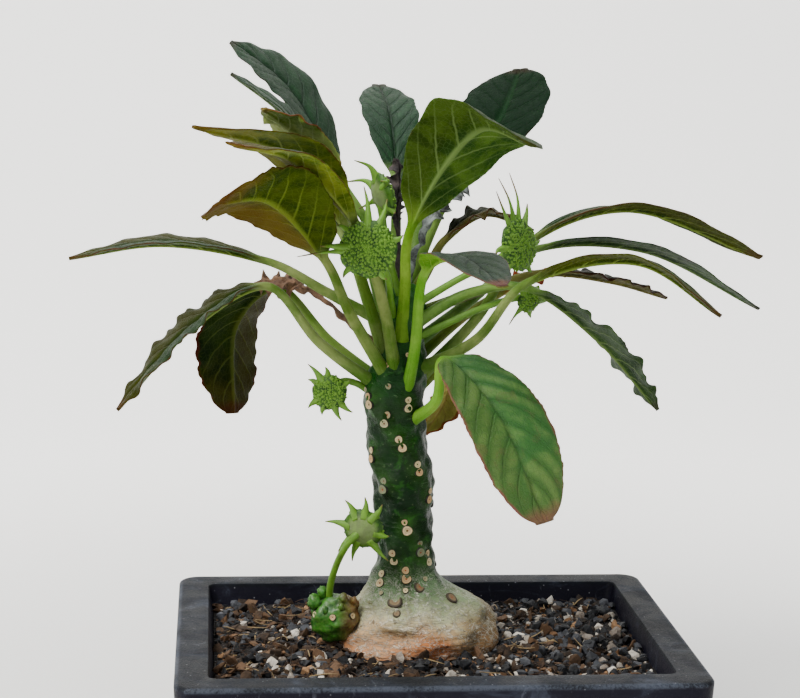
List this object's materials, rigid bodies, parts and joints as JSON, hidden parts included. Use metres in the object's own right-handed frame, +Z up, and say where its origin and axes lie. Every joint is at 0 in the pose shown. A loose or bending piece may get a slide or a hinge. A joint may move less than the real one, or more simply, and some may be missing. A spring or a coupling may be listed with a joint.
{
  "type": "potted dorstenia foetida",
  "caption": "Small caudex succulent with a swollen base, a scarred green stem, arching waved leaves and spiky green flower heads, in a shallow rectangular tray pot of gritty soil.",
  "frame": {"origin": "centre of the pot's flat underside", "axes": "+Z up, +X to the viewer's right, the front faces -Y"},
  "size_m": [0.2133, 0.1573, 0.2222],
  "materials": {
    "pot": "matte dark slate plastic, lightly dusty and scuffed",
    "soil": "loose grit of lava, pumice and bark",
    "stem": "smooth green living bark with pale scars, beige and pink on the swollen base",
    "leaf": "thick satin leaf, dark above and paler below",
    "dried_leaf": "dry, dull and crumpled",
    "flower_head": "fleshy bright green, finely bumpy"
  },
  "bodies": {
    "root": {"pot": "pot", "soil": "soil", "stem": "stem", "leaf_01": "leaf", "leaf_02": "leaf", "leaf_03": "leaf", "leaf_04": "leaf", "leaf_05": "leaf", "leaf_06": "leaf", "leaf_07": "leaf", "leaf_08": "leaf", "leaf_09": "leaf", "leaf_10": "leaf", "leaf_11": "leaf", "leaf_12": "leaf", "leaf_13": "leaf", "leaf_14": "leaf", "leaf_15": "leaf", "leaf_16": "leaf", "leaf_17": "leaf", "leaf_18": "leaf", "leaf_19": "leaf", "leaf_20": "leaf", "leaf_21": "leaf", "leaf_22": "leaf", "leaf_23": "leaf", "leaf_24": "leaf", "dried_leaf_1": "dried_leaf", "dried_leaf_2": "dried_leaf", "dried_leaf_3": "dried_leaf", "flower_head_1": "flower_head", "flower_head_2": "flower_head", "flower_head_3": "flower_head", "flower_head_4": "flower_head", "flower_head_5": "flower_head", "flower_head_6": "flower_head"}
  },
  "joints": []
}
